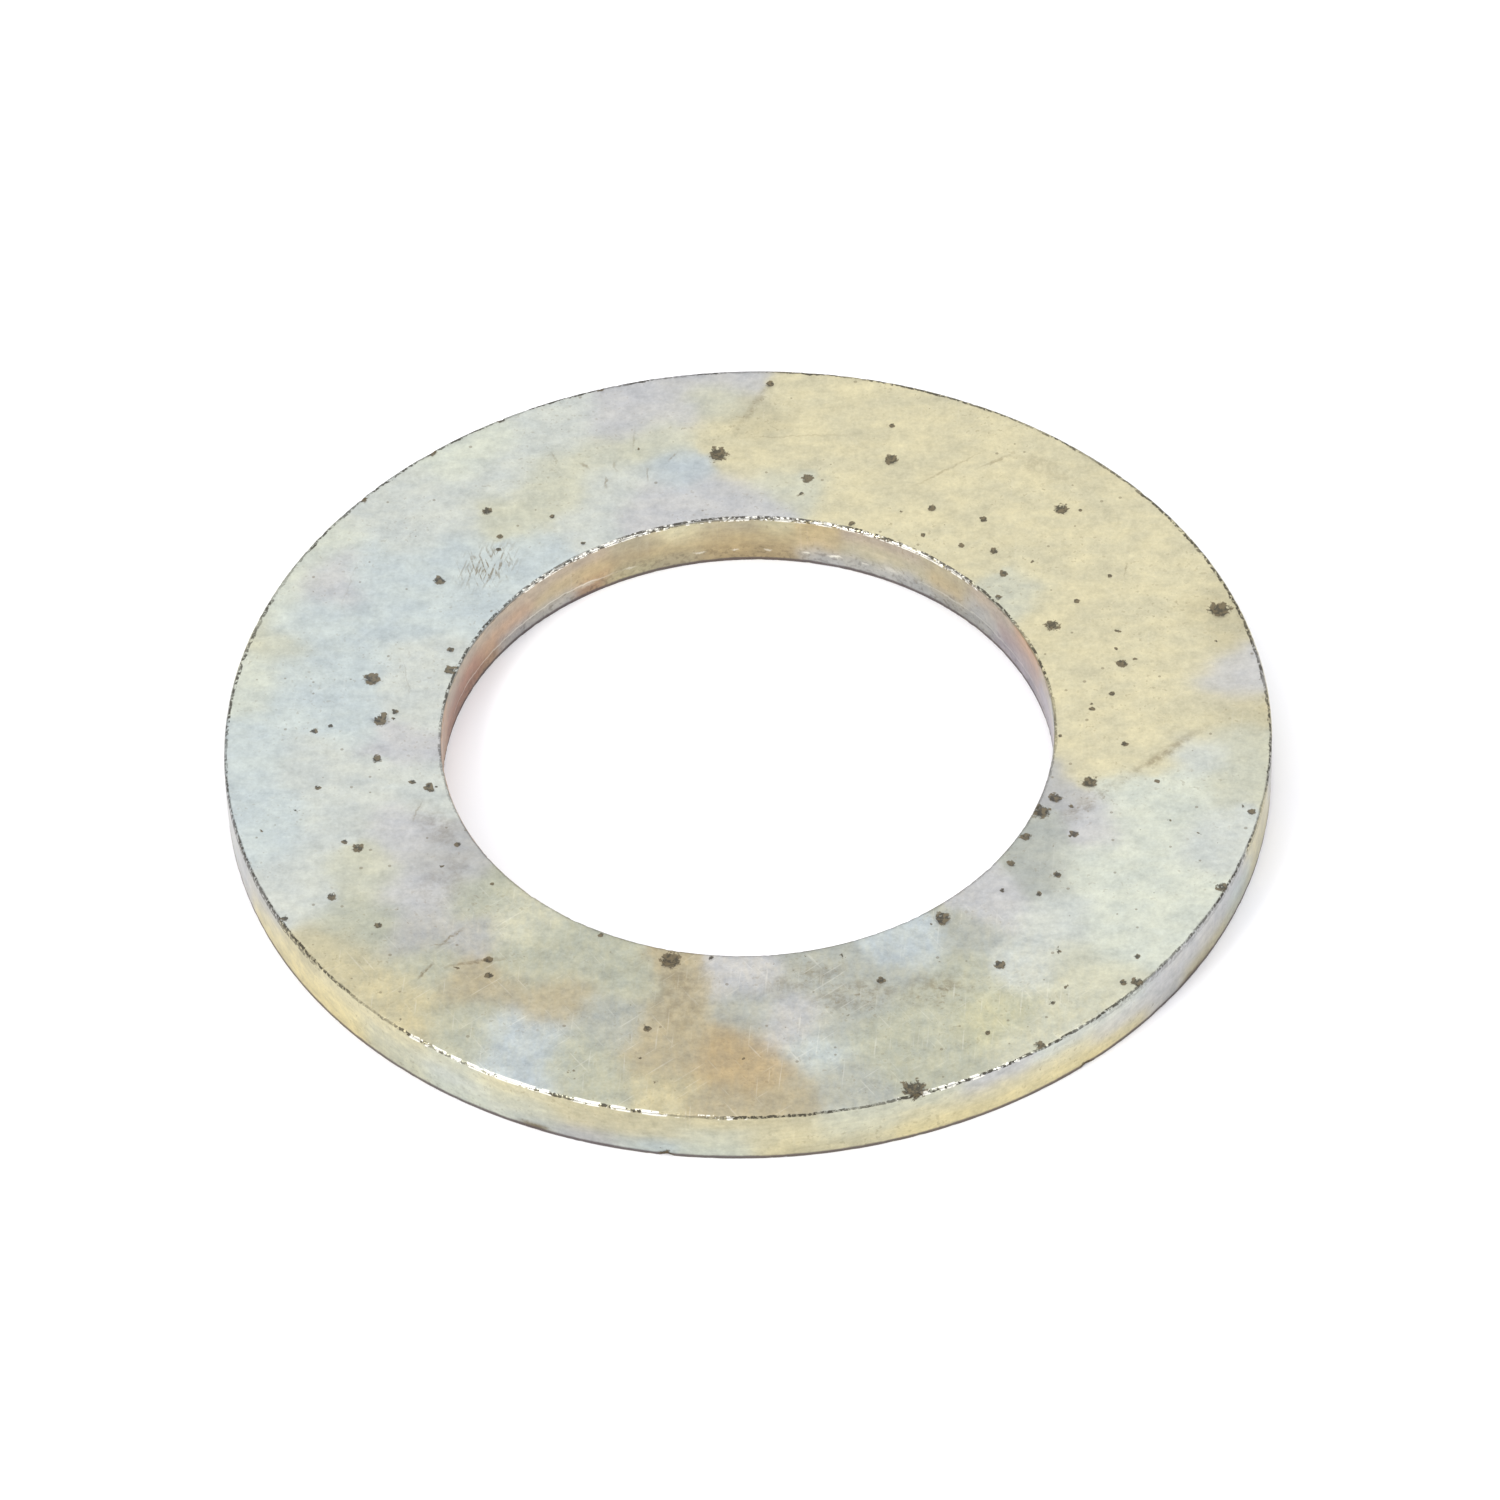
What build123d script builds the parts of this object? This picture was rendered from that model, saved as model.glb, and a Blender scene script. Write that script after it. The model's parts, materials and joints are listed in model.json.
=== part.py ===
from build123d import *
import os

# A flat washer punched from sheet steel in one stroke. The punch first bends the sheet over at
# both edges, then shears a straight, burnished wall, and the rest of the wall tears away a
# little proud of it. Both rolled edges are on the top face, and both torn walls end in the
# bottom face, where tumbling has rounded the burr.
#
# Millimetres. The origin is on the axis, in the plane of the bottom face, with +Z up.

# Driving dimensions
outer_diameter = 33.34
bore_diameter = 19.45
thickness = 1.93

rim_roll = 0.12        # radius of the rolled edge between the top face and the rim
bore_roll = 0.10       # radius of the rolled edge between the top face and the bore
sheared_depth = 1.18   # from the top face down to where the wall begins to tear
rim_lean = 0.02        # how far in the torn rim has drawn by the time it meets the bottom face
bore_lean = 0.02       # how far out the torn bore has opened there
rim_burr_round = 0.04  # tumbled radius on the bottom edge of the rim
bore_burr_round = 0.04 # tumbled radius on the bottom edge of the bore

# Worked out from them
outer_radius = outer_diameter / 2
bore_radius = bore_diameter / 2
tear_height = thickness - sheared_depth
steel_density = 7.85e-6  # kilograms in a cubic millimetre


with BuildPart() as flat_washer:
    # Half of the ring's section, with the radius along X and the height along Y of the sketch
    with BuildSketch(Plane.XZ) as section:
        with BuildLine():
            Polyline(
                (bore_radius + bore_lean, 0),
                (outer_radius - rim_lean, 0),
                (outer_radius, tear_height),
                (outer_radius, thickness),
                (bore_radius, thickness),
                (bore_radius, tear_height),
                close=True,
            )
        make_face()
        fillet(section.vertices().group_by(Axis.Y)[-1].sort_by(Axis.X)[-1], rim_roll)
        fillet(section.vertices().group_by(Axis.Y)[-1].sort_by(Axis.X)[0], bore_roll)
        fillet(section.vertices().group_by(Axis.Y)[0].sort_by(Axis.X)[-1], rim_burr_round)
        fillet(section.vertices().group_by(Axis.Y)[0].sort_by(Axis.X)[0], bore_burr_round)
    revolve(axis=Axis.Z)

flat_washer.part.label = "flat_washer"

os.makedirs("parts", exist_ok=True)
export_step(flat_washer.part, "parts/flat_washer.step")

print(f"straight wall in the bore: {sheared_depth - bore_roll:.2f} mm long")
print(f"land between bore and rim: {outer_radius - bore_radius:.2f} mm wide")
print(f"mass in steel: {1000 * flat_washer.part.volume * steel_density:.2f} g")
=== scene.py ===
# %% [markdown]
# # A flat washer in yellow zinc
#
# The washer is one blank of sheet steel. A press punched it out, a barrel tumbled the burr off it,
# and a plating line gave it a few microns of zinc and a chromate film thinner than a wavelength of
# light, which is why it shows straw yellow in one place and pale blue in the next. It is made here
# in that order too: the ring with its sheared edges, the pits and stains that bulk plating leaves,
# the finish with its scratches and worn edges, with painted glints and shade along those
# edges and a painted shadow along the foot of the walls, and last a stage to look at it on.

# %% Load the frame
import json
import math
import random

import bmesh
import bpy
import numpy as np
from mathutils import Matrix, Vector, kdtree


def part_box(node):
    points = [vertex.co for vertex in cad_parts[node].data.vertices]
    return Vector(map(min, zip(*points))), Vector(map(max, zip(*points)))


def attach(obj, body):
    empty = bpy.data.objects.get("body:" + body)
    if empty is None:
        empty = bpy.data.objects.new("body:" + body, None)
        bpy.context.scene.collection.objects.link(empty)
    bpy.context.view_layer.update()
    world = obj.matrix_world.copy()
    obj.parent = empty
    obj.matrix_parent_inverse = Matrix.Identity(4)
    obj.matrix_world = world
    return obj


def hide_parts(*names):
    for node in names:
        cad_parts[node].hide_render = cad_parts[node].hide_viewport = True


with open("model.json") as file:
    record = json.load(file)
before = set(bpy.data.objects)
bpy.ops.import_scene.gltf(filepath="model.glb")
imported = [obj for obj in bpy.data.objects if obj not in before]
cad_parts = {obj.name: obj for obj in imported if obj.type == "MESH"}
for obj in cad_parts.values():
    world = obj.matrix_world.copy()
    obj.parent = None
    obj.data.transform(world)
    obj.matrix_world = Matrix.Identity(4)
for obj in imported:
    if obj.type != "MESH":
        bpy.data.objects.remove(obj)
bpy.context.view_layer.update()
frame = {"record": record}

# %% [markdown]
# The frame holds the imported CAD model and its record. The washer's box gives the rim and the
# thickness, and the bore's mount gives its radius and the stretch of wall that is straight, so
# nothing here is measured twice. Only what the record has no key for is repeated: the small
# rounds and the lean of the torn wall.

# %% Sizes of the washer
MM = 0.001
lowest, highest = (Vector(corner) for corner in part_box("flat_washer"))
bore_mount = next(m for m in frame["record"]["mounts"] if m["name"] == "bore")

rim_radius = (highest.x - lowest.x) / 2
thickness = highest.z - lowest.z
bore_radius = bore_mount["dims"]["r_mm"] * MM
straight_wall = bore_mount["dims"]["length_mm"] * MM
tear_height = bore_mount["pos_m"][2] - straight_wall / 2
bore_roll = thickness - tear_height - straight_wall
rim_roll = 0.12 * MM
burr_round = 0.04 * MM
lean = 0.02 * MM
land_middle = (rim_radius + bore_radius) / 2
print(f"rim {rim_radius / MM:.2f}, bore {bore_radius / MM:.3f}, thickness {thickness / MM:.2f} mm")
print(f"wall torn below {tear_height / MM:.2f} mm")
print(f"edges rolled to {rim_roll / MM:.2f} mm at the rim and {bore_roll / MM:.2f} mm at the bore")

# %% [markdown]
# Node trees are long when every node is placed and linked by hand, and hard to read afterwards.
# Here a `Wire` stands for one output of a node, and a sum written with wires adds the Math nodes
# that work it out. `Tree.node` adds any other node: its settings go in first, because they can
# change which sockets it has, and then the values and links of its sockets. The same two
# classes serve the geometry trees and the material.

# %% Wires
def pick(sockets, name):
    """The socket in use that has this name or this place in the row."""
    if isinstance(name, int):
        return sockets[name]
    return next(s for s in sockets if s.name == name and s.enabled)


class Wire:
    """One output of a node. Sums on it add nodes to its tree."""

    def __init__(self, tree, socket):
        self.tree = tree
        self.socket = socket

    def __add__(self, other):
        return self.tree.maths("ADD", self, other)

    def __radd__(self, other):
        return self.tree.maths("ADD", other, self)

    def __sub__(self, other):
        return self.tree.maths("SUBTRACT", self, other)

    def __rsub__(self, other):
        return self.tree.maths("SUBTRACT", other, self)

    def __mul__(self, other):
        return self.tree.maths("MULTIPLY", self, other)

    def __rmul__(self, other):
        return self.tree.maths("MULTIPLY", other, self)

    def __truediv__(self, other):
        return self.tree.maths("DIVIDE", self, other)

    def output(self, name):
        """Another output of the same node."""
        return Wire(self.tree, pick(self.socket.node.outputs, name))

    def parts(self):
        """The x, y and z of a vector."""
        split = self.tree.node("ShaderNodeSeparateXYZ", {}, {"Vector": self})
        return split, split.output("Y"), split.output("Z")

    def does(self, operation, *others):
        """A Math or Vector Math operation that has no sign of its own, such as SINE or MAXIMUM."""
        return self.tree.maths(operation, self, *others)

    def ramp(self, start, end):
        """0 up to start, 1 from end on, and a smooth rise between them. start may be the larger."""
        sockets = {"Value": self, "From Min": start, "From Max": end}
        return self.tree.node(
            "ShaderNodeMapRange", {"interpolation_type": "SMOOTHSTEP"}, sockets, "Result")

    def mix(self, first, second):
        """first where this wire is 0 and second where it is 1, for numbers or for colours."""
        three = any(holds_three(value) for value in (first, second))
        kind = "RGBA" if three else "FLOAT"
        sockets = {"Factor": self, "A": first, "B": second}
        return self.tree.node("ShaderNodeMix", {"data_type": kind}, sockets, "Result")


# %% Trees
def holds_three(value):
    """Whether a value or a wire is a vector or a colour."""
    if isinstance(value, Wire):
        return value.socket.type in {"VECTOR", "RGBA"}
    return not isinstance(value, (int, float))


class Tree:
    """A node tree that is written as sums."""

    def __init__(self, tree):
        self.tree = tree

    def node(self, kind, settings, sockets, output=0):
        """Adds a node and gives one of its outputs as a wire."""
        node = self.tree.nodes.new(kind)
        for name, value in settings.items():
            setattr(node, name, value)
        for name, value in sockets.items():
            socket = pick(node.inputs, name)
            if isinstance(value, Wire):
                self.tree.links.new(value.socket, socket)
            elif socket.type == "RGBA" and len(value) == 3:
                socket.default_value = (*value, 1)
            else:
                socket.default_value = value
        return Wire(self, pick(node.outputs, output)) if node.outputs else None

    def maths(self, operation, *values):
        """A Math node, or a Vector Math node where one of the values is a vector."""
        kind, names, output = "ShaderNodeMath", range(len(values)), "Value"
        if any(holds_three(value) for value in values):
            kind = "ShaderNodeVectorMath"
            if operation == "MULTIPLY" and not all(holds_three(value) for value in values):
                operation, names = "SCALE", ("Vector", "Scale")
                values = sorted(values, key=holds_three, reverse=True)
            output = "Value" if operation in {"DISTANCE", "LENGTH"} else "Vector"
        return self.node(kind, {"operation": operation}, dict(zip(names, values)), output)

    def vector(self, x, y, z):
        """A vector from three numbers or wires."""
        return self.node("ShaderNodeCombineXYZ", {}, {"X": x, "Y": y, "Z": z})

    def noise(self, place, grain, detail=2.0, roughness=0.5):
        """Noise from 0 to 1, in lumps about grain across. Its Color output is a noise vector."""
        sockets = {"Vector": place, "Scale": 1 / grain, "Detail": detail, "Roughness": roughness}
        return self.node("ShaderNodeTexNoise", {}, sockets)


# %% [markdown]
# A geometry tree needs named inputs, so that its sizes can be changed without opening it. A
# modifier keeps each input under its socket's identifier and not its name, so `grow` looks the
# identifiers up before the object is first evaluated. When the tree has run, its result is
# turned into a plain mesh and the modifier goes, because the finished piece has to stand alone.

# %% Growing a mesh with a geometry tree
SOCKETS = {float: "NodeSocketFloat", int: "NodeSocketInt",
           bpy.types.Object: "NodeSocketObject", bpy.types.Material: "NodeSocketMaterial"}


def new_tree(name, inputs):
    """An empty geometry tree with these named inputs, and a wire for each."""
    group = bpy.data.node_groups.new(name, "GeometryNodeTree")
    group.interface.new_socket("Geometry", in_out="OUTPUT", socket_type="NodeSocketGeometry")
    group.interface.new_socket("Geometry", in_out="INPUT", socket_type="NodeSocketGeometry")
    for label, value in inputs.items():
        kind = next(s for t, s in SOCKETS.items() if isinstance(value, t))
        group.interface.new_socket(label, in_out="INPUT", socket_type=kind)
    tree = Tree(group)
    outputs = tree.node("NodeGroupInput", {}, {}).socket.node.outputs
    return tree, {socket.name: Wire(tree, socket) for socket in outputs if socket.name}


def finish_tree(tree, geometry, material):
    """Ends a tree with its instances made real, smooth shading and its material."""
    geometry = tree.node("GeometryNodeRealizeInstances", {}, {"Geometry": geometry})
    geometry = tree.node("GeometryNodeSetShadeSmooth", {}, {"Geometry": geometry})
    geometry = tree.node("GeometryNodeSetMaterial", {}, {"Geometry": geometry, "Material": material})
    tree.node("NodeGroupOutput", {}, {"Geometry": geometry})


def grow(piece, tree, inputs):
    """Runs the tree on the piece and keeps the result as its plain mesh."""
    modifier = piece.modifiers.new(tree.tree.name, "NODES")
    modifier.node_group = tree.tree
    for item in tree.tree.interface.items_tree:
        if item.in_out == "INPUT" and item.name in inputs:
            modifier[item.identifier] = inputs[item.name]
    graph = bpy.context.evaluated_depsgraph_get()
    mesh = bpy.data.meshes.new_from_object(
        piece.evaluated_get(graph), preserve_all_data_layers=True, depsgraph=graph)
    piece.modifiers.clear()
    piece.data = mesh
    print(f"{tree.tree.name}: {len(mesh.vertices)} points, {len(mesh.polygons)} faces")


# %% Points that a tree can read
def point_cloud(name, places, numbers):
    """A mesh of loose points, each with the named numbers or vectors, for a tree to read."""
    mesh = bpy.data.meshes.new(name)
    mesh.from_pydata(places, [], [])
    for label, values in numbers.items():
        three = np.ndim(values) == 2
        kind, field = ("FLOAT_VECTOR", "vector") if three else ("FLOAT", "value")
        layer = mesh.attributes.new(label, kind, "POINT")
        layer.data.foreach_set(field, np.asarray(values, np.float32).ravel())
    cloud = bpy.data.objects.new(name, mesh)
    bpy.context.scene.collection.objects.link(cloud)
    cloud.hide_render = True
    return cloud


# %% [markdown]
# ## The ring
#
# A washer's section tells how it was made. The punch rolled the top edges over, sheared a
# straight wall, and tore the rest, which leans back a little. A lathe-like Spin or a swept curve
# would turn that section into a ring. A grid is used instead, rolled up by a rule: each column
# is one angle and each row one point of the section. It says exactly where every point goes, and
# the columns and rows are also the unrolled surface that the finish can be baked on.

# %% The section
corners = [
    (bore_radius + lean, 0, burr_round),
    (rim_radius - lean, 0, burr_round),
    (rim_radius, tear_height, 0),
    (rim_radius, thickness, rim_roll),
    (bore_radius, thickness, bore_roll),
    (bore_radius, tear_height, 0),
]
section = bpy.data.meshes.new("section")
section.from_pydata(
    [(radius, 0, height) for radius, height, round_off in corners],
    [(i, (i + 1) % len(corners)) for i in range(len(corners))], [])
rounds = section.attributes.new("round_off", "FLOAT", "POINT")
rounds.data.foreach_set("value", [round_off for radius, height, round_off in corners])

washer = bpy.data.objects.new("washer", section)
bpy.context.scene.collection.objects.link(washer)
yellow_zinc = bpy.data.materials.new("yellow_zinc")

# %% [markdown]
# The tree first rounds the section's corners and cuts its long sides into short ones. Then it
# lays out a flat grid, with a row for each point of the section and a column for each angle, and
# moves every point of the grid to the place that its row and column stand for. The last row lies
# on the first and the last column on the first, and merging them closes the ring.

# %% Round and divide the section
ring_sizes = {
    "Columns": 480,
    "Point spacing": 0.20 * MM,
    "Spacing underneath": 0.45 * MM,
    "Steps in a round": 5,
    "Material": yellow_zinc,
}
ring, wire = new_tree("ring", ring_sizes)
outline = ring.node("GeometryNodeMeshToCurve", {}, {"Mesh": wire["Geometry"]})
round_off = ring.node(
    "GeometryNodeInputNamedAttribute", {"data_type": "FLOAT"}, {"Name": "round_off"})
outline = ring.node("GeometryNodeFilletCurve", {"mode": "POLY"}, {
    "Curve": outline, "Radius": round_off, "Limit Radius": True, "Count": wire["Steps in a round"]})


def points_of(curve):
    """How many points a curve has."""
    return ring.node("GeometryNodeAttributeDomainSize", {"component": "CURVE"},
                     {"Geometry": curve}, "Point Count")


# Only along the bottom are both ends of a side this low, and there the points may lie wider apart.
place = ring.node("GeometryNodeInputPosition", {}, {})
index = ring.node("GeometryNodeInputIndex", {}, {})
next_index = (index + 1).does("MODULO", points_of(outline))
next_place = ring.node(
    "GeometryNodeFieldAtIndex", {"data_type": "FLOAT_VECTOR"}, {"Index": next_index, "Value": place})
both_heights = (place + next_place).parts()[2]
above_bottom = both_heights.ramp(0.1 * MM, 0.2 * MM)
spacing = above_bottom.mix(wire["Spacing underneath"], wire["Point spacing"])
cuts = (place.does("DISTANCE", next_place) / spacing).does("FLOOR")
outline = ring.node("GeometryNodeSubdivideCurve", {}, {"Curve": outline, "Cuts": cuts})

# %% Roll the section round
rows = points_of(outline)
grid = ring.node(
    "GeometryNodeMeshGrid", {}, {"Vertices X": wire["Columns"] + 1, "Vertices Y": rows + 1})
column = (index / (rows + 1)).does("FLOOR")
row = index - column * (rows + 1)


def from_outline(kind, value):
    """The outline's value at this row; the last row is the first point again."""
    return ring.node("GeometryNodeSampleIndex", {"data_type": kind}, {
        "Geometry": outline, "Value": value, "Index": row.does("MODULO", rows)})


radius, _, height = from_outline("FLOAT_VECTOR", place).parts()
turn = column / wire["Columns"]
angle = turn * math.tau
rolled_up = ring.vector(radius * angle.does("COSINE"), radius * angle.does("SINE"), height)
way_round = ring.node("GeometryNodeCurveLength", {}, {"Curve": outline})
parameter = ring.node("GeometryNodeSplineParameter", {}, {}, "Length")
along = from_outline("FLOAT", parameter) / way_round + row.does("GREATER_THAN", rows - 0.5)
unrolled = ring.node("GeometryNodeFieldOnDomain", {"data_type": "FLOAT_VECTOR", "domain": "POINT"}, {
    "Value": ring.vector(turn, along, 0)})
flat = ring.node("GeometryNodeStoreNamedAttribute", {"data_type": "FLOAT2", "domain": "CORNER"}, {
    "Geometry": grid, "Name": "OFBake", "Value": unrolled})
ring_mesh = ring.node("GeometryNodeSetPosition", {}, {"Geometry": flat, "Position": rolled_up})
ring_mesh = ring.node(
    "GeometryNodeMergeByDistance", {}, {"Geometry": ring_mesh, "Distance": 0.001 * MM})
finish_tree(ring, ring_mesh, wire["Material"])
grow(washer, ring, ring_sizes)

# %% [markdown]
# ## Pits
#
# Zinc on cheap punchings is pitted: a speck of scale or dirt kept the bath off, and the bare spot
# has since corroded to a dark, ragged little crater. The ones that catch the eye are listed, each
# with its angle round the washer, its distance from the axis and its width. Craters could be cut
# with booleans, but hundreds of small cuts are slow and fragile. Instead each point of the ring
# asks which pit is nearest and sinks by how deep it lies in it.

# %% Where the pits are
# (degrees round, millimetres from the axis, millimetres across)
top_pits = [
    (93, 12.8, 0.67), (79, 11.7, 0.36), (68, 13.2, 0.44), (70, 14.7, 0.20), (58, 11.7, 0.28),
    (50, 12.2, 0.26), (43, 14.2, 0.45), (56, 10.5, 0.18), (49, 10.8, 0.20), (44, 11.3, 0.28),
    (39, 10.8, 0.28), (29, 13.5, 0.17), (35, 10.0, 0.20), (27, 12.0, 0.22), (24, 10.8, 0.48),
    (17.6, 16.0, 0.70), (12, 12.3, 0.36), (6, 11.7, 0.22), (3, 11.0, 0.20), (355, 12.0, 0.22),
    (346, 11.1, 0.50), (348, 13.2, 0.17), (341, 10.2, 0.42), (337, 10.0, 0.58), (330, 10.0, 0.34),
    (334, 11.3, 0.32), (323, 10.2, 0.30), (325, 11.7, 0.24), (317, 10.7, 0.20), (320, 11.7, 0.22),
    (305, 10.3, 0.53), (306, 13.0, 0.36), (289.5, 11.7, 0.27), (315, 16.2, 0.24), (319, 15.8, 0.18),
    (307, 15.3, 0.18), (298, 15.2, 0.20), (302, 16.5, 0.32), (316, 16.5, 0.36), (287, 16.4, 0.75),
    (255, 10.2, 0.67), (262, 9.9, 0.20), (229, 12.7, 0.27), (231, 13.2, 0.27), (241, 9.9, 0.20),
    (255, 13.2, 0.24), (214, 14.2, 0.24), (206.5, 14.8, 0.32), (200, 13.2, 0.36), (198.3, 13.5, 0.20),
    (206, 10.3, 0.22), (207, 16.5, 0.26), (191, 10.3, 0.38), (189, 10.8, 0.22), (187.5, 13.8, 0.20),
    (183, 11.8, 0.32), (174, 11.7, 0.66), (172.5, 11.3, 0.26), (166, 12.3, 0.52), (177, 13.8, 0.22),
    (176, 13.3, 0.18), (156, 10.3, 0.24), (161, 10.0, 0.38), (143, 12.2, 0.36), (128, 13.3, 0.32),
    (121, 11.8, 0.18), (130, 12.1, 0.20), (132, 11.7, 0.18), (120, 10.2, 0.18), (86, 16.0, 0.28),
    (69, 10.0, 0.24), (345, 16.4, 0.28), (333, 16.5, 0.36), (117.6, 16.6, 0.30), (127, 16.6, 0.34),
    (137.5, 16.6, 0.32), (105.5, 16.6, 0.26),
]
print(f"{len(top_pits)} pits listed")

# %% Pits too small to list, and pits out of sight
specks = 90         # on the top face, thickest round 305 degrees
hidden_pits = 60    # most of them underneath, the others on the unlisted half of either wall
depth_share = 0.3   # a pit's depth is this share of its radius
chance = random.Random(27)


def on_ring(angle, radius, height):
    """A point from degrees round, millimetres from the axis and millimetres up."""
    turn = math.radians(angle)
    return Vector((radius * math.cos(turn), radius * math.sin(turn), height)) * MM


def out_of_sight(side):
    """A random place on the bottom face, on the rim towards +Y or in the bore towards -Y."""
    angle = chance.uniform(0, 360)
    if side == "bottom":
        return on_ring(angle, chance.uniform(bore_radius / MM, rim_radius / MM), 0)
    if side == "rim":
        return on_ring(chance.uniform(0, 180), rim_radius / MM, chance.uniform(0.2, 1.6))
    return on_ring(chance.uniform(180, 360), bore_radius / MM, chance.uniform(0.2, 1.6))


top = thickness / MM
pits = [(on_ring(angle, radius, top), width / 2 * MM) for angle, radius, width in top_pits]
for _ in range(specks):
    spot = on_ring(chance.gauss(305, 70), chance.uniform(9.9, 16.5), top)
    pits.append((spot, chance.uniform(0.03, 0.07) * MM))
for _ in range(hidden_pits):
    side = chance.choice(["bottom"] * 6 + ["rim", "bore"])
    widest = 0.32 if side == "bottom" else 0.16
    pits.append((out_of_sight(side), chance.uniform(0.06, widest) * MM))
pit_cloud = point_cloud("pits", [spot for spot, reach in pits], {
    "reach": [reach for spot, reach in pits],
    "depth": [depth_share * reach for spot, reach in pits]})
print(f"{len(pits)} pits in all")

# %% [markdown]
# A pit a quarter of a millimetre wide needs points closer together than the ring has. Dividing
# the whole ring would cost a million faces, so only the faces near a pit are divided, once or
# twice, and those of the two rolled edges once. A face beside divided ones is left
# with more than four corners, some of them in a row. Cut up into triangles, two such faces can
# give the same sliver twice, so each is fanned out from its middle instead.

# %% Finer faces near the pits and along the edges
ring_bm = bmesh.new()
ring_bm.from_mesh(washer.data)


def divide(faces):
    """Cuts these faces in four and fits their neighbours to the new points."""
    edges = dict.fromkeys(edge for face in faces for edge in face.edges)
    bmesh.ops.subdivide_edges(ring_bm, edges=list(edges), cuts=1, use_grid_fill=True)


def faces_near(spots, times, slack):
    """The faces within a number of times each pit's radius, and the slack, of its middle."""
    ring_bm.faces.ensure_lookup_table()
    tree = kdtree.KDTree(len(ring_bm.faces))
    for face in ring_bm.faces:
        tree.insert(face.calc_center_median(), face.index)
    tree.balance()
    found = {index for spot, reach in spots
             for _, index, _ in tree.find_range(spot, times * reach + slack)}
    return [ring_bm.faces[index] for index in found]


def on_rolled_edge(face):
    """Whether a face slopes between the top face and a wall."""
    return 0.15 < face.normal.z < 0.995 and face.calc_center_median().z > thickness / 2


def pits_between(least, most):
    """The pits whose radius lies between two sizes."""
    return [(spot, reach) for spot, reach in pits if least < reach < most]


# All but the smallest specks get finer faces, and the pits of middling size get them twice.
bmesh.ops.recalc_face_normals(ring_bm, faces=ring_bm.faces)
divide([face for face in ring_bm.faces if on_rolled_edge(face)])
divide(faces_near(pits_between(0.06 * MM, 1 * MM), 1.7, 0.15 * MM))
divide(faces_near(pits_between(0.08 * MM, 0.2 * MM), 1.2, 0.06 * MM))
many_sided = [face for face in ring_bm.faces if len(face.verts) > 4]
bmesh.ops.poke(ring_bm, faces=many_sided)
ring_bm.normal_update()
ring_bm.to_mesh(washer.data)
ring_bm.free()
print(f"{len(washer.data.polygons)} faces after dividing, {len(many_sided)} of them fanned out")

# %% [markdown]
# ## Stains
#
# Chromate dries in patches. Where the film is thinnest it looks like bare zinc, mint or pale blue,
# then lilac, straw, gold and tan as it thickens, and copper or pink where the barrel left it
# thickest, in the bore. Each stain below is a colour at a place. A point of the ring takes the
# colour of the stain nearest to it, after its own place has been pushed about by noise, so the
# patches meet along wandering lines, and a blur softens some of that line.

# %% The film's colours
def film(red, green, blue):
    """A colour as the eye sees it, 0 to 255, turned into the light that it reflects."""
    shares = [value / 255 for value in (red, green, blue)]
    return [s / 12.92 if s <= 0.04045 else ((s + 0.055) / 1.055) ** 2.4 for s in shares]


MINT = film(220, 224, 208)
PALE = film(213, 217, 208)
CYAN = film(207, 216, 213)
BLUE = film(200, 209, 210)
LILAC = film(206, 206, 204)
LAVENDER = film(192, 192, 188)
SLATE = film(187, 190, 180)
SAGE = film(193, 195, 176)
CREAM = film(212, 212, 190)
OAT = film(206, 205, 175)
STRAW = film(224, 216, 180)
SAND = film(209, 201, 167)
TAN = film(192, 182, 154)
ORANGE = film(193, 174, 138)
GOLD = film(238, 226, 178)
BRASS = film(205, 186, 144)
COPPER = film(206, 171, 140)
PINK = film(188, 142, 120)
ROSE = film(182, 162, 156)
DUN = film(193, 179, 160)
VIOLET = film(188, 182, 190)

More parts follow.
